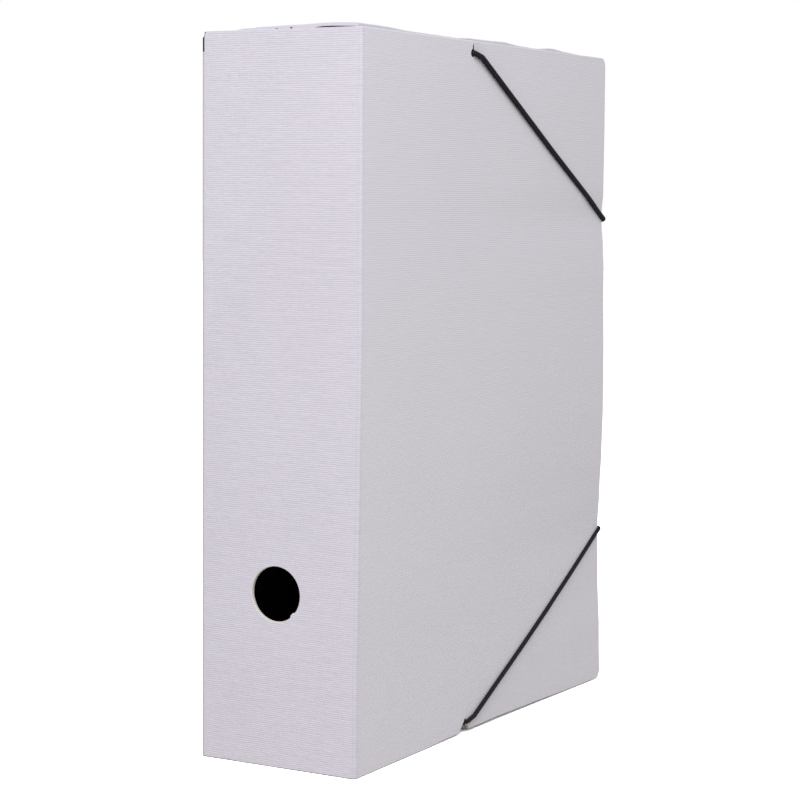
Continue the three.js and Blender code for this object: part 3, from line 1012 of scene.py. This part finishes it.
def make_world():
    world = bpy.data.worlds.new("studio")
    bpy.context.scene.world = world
    world.use_nodes = True
    tree = world.node_tree
    light = tree.nodes["Background"]
    light.inputs["Color"].default_value = (0.99, 0.98, 1.0, 1)
    light.inputs["Strength"].default_value = 0.56
    backdrop = tree.nodes.new("ShaderNodeBackground")
    backdrop.inputs["Color"].default_value = (1, 1, 1, 1)
    backdrop.inputs["Strength"].default_value = 1.0
    rays = tree.nodes.new("ShaderNodeLightPath")
    seen = rays.outputs["Is Camera Ray"]
    for kind in ("Is Glossy Ray", "Is Transmission Ray"):
        seen = math_node(tree, "MAXIMUM", seen, rays.outputs[kind])
    choose = tree.nodes.new("ShaderNodeMixShader")
    tree.links.new(seen, choose.inputs[0])
    tree.links.new(light.outputs[0], choose.inputs[1])
    tree.links.new(backdrop.outputs[0], choose.inputs[2])
    tree.links.new(choose.outputs[0], tree.nodes["World Output"].inputs["Surface"])


def softbox(name, place, target, size, power, colour):
    data = bpy.data.lights.new(name, "AREA")
    data.shape = "SQUARE"
    data.size = size
    data.energy = power
    data.color = colour
    lamp = placed(name, data)
    lamp.location = place
    lamp.rotation_mode = "QUATERNION"
    lamp.rotation_quaternion = (Vector(target) - Vector(place)).to_track_quat("-Z", "Y")


def make_lights():
    softbox("key", (-1.1, -0.5, 1.25), (-0.1, 0, 0.28), 0.9, 17.5, (0.92, 0.93, 1.0))
    softbox("fill", (-0.35, -0.75, 1.0), (0, 0, 0.33), 0.7, 3.6, (0.90, 0.92, 1.0))


bpy.context.scene.view_settings.view_transform = "Standard"
make_camera()
make_floor()
make_world()
make_lights()

# Spine and cover are one linen paper: the spine's copy has lighter thread tops and darker hollows, painted light and
# shade for the light that grazes the spine
spine_linen_painted_light = linen_paper("spine_linen_paper_painted_light", (0.70, 0.672, 0.728), (0.59, 0.563, 0.612), 0.1 * MM)
cover_linen = linen_paper("cover_linen_paper", (0.672, 0.652, 0.69), (0.628, 0.609, 0.646), 0.06 * MM)
# Darker copy of the spine's linen for the creases' arcs: painted shade that tones down the fold's highlight
fold_shade_linen = linen_paper("fold_linen_painted_shade", (0.63, 0.605, 0.655), (0.54, 0.515, 0.56), 0.07 * MM)
lining = lining_paper("black_lining_paper")
board_edge = raw_board("raw_board_edge")
sheath = elastic_sheath("black_elastic_sheath")
crimp = crimp_metal("crimped_metal")
BOARD_FINISHES = [cover_linen, lining, board_edge]
SPINE_FINISHES = [spine_linen_painted_light, lining, board_edge]
FOLD_FINISHES = [*SPINE_FINISHES, fold_shade_linen]

tray = make_tray(BOARD_FINISHES)
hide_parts("tray")
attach(tray, "tray")

lid = make_lid(BOARD_FINISHES)
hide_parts("lid_panel")
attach(lid, "lid")

spine = make_spine(SPINE_FINISHES)
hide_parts("spine_panel")
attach(spine, "spine")

lid_crease = make_crease("lid_crease", LID_RUN - CREASE_LEG, SPINE_START + CREASE_LEG, FOLD_FINISHES)
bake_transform(lid_crease)

back_crease = make_crease("back_crease", SPINE_END - CREASE_LEG, BACK_START + CREASE_LEG, FOLD_FINISHES, DARK_TOP_REACH)
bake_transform(back_crease)

braid = braid_tree()
for name, radius, hole_z, wrap_z, sag in (
    ("upper", UPPER_CORD_RADIUS, UPPER_HOLE_Z, WRAP_UPPER_Z, UPPER_SAG),
    ("lower", LOWER_CORD_RADIUS, LOWER_HOLE_Z, WRAP_LOWER_Z, LOWER_SAG),
):
    sleeve_low, sleeve_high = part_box(name + "_crimp_sleeve")
    sleeve_z = (sleeve_low.z + sleeve_high.z) / 2
    cord = make_elastic(name + "_elastic_braid", braid, radius, sleeve_z, hole_z, wrap_z, sag, sheath)
    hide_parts(name + "_elastic")
    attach(cord, "tray")
    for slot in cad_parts[name + "_crimp_sleeve"].material_slots:
        slot.material = crimp
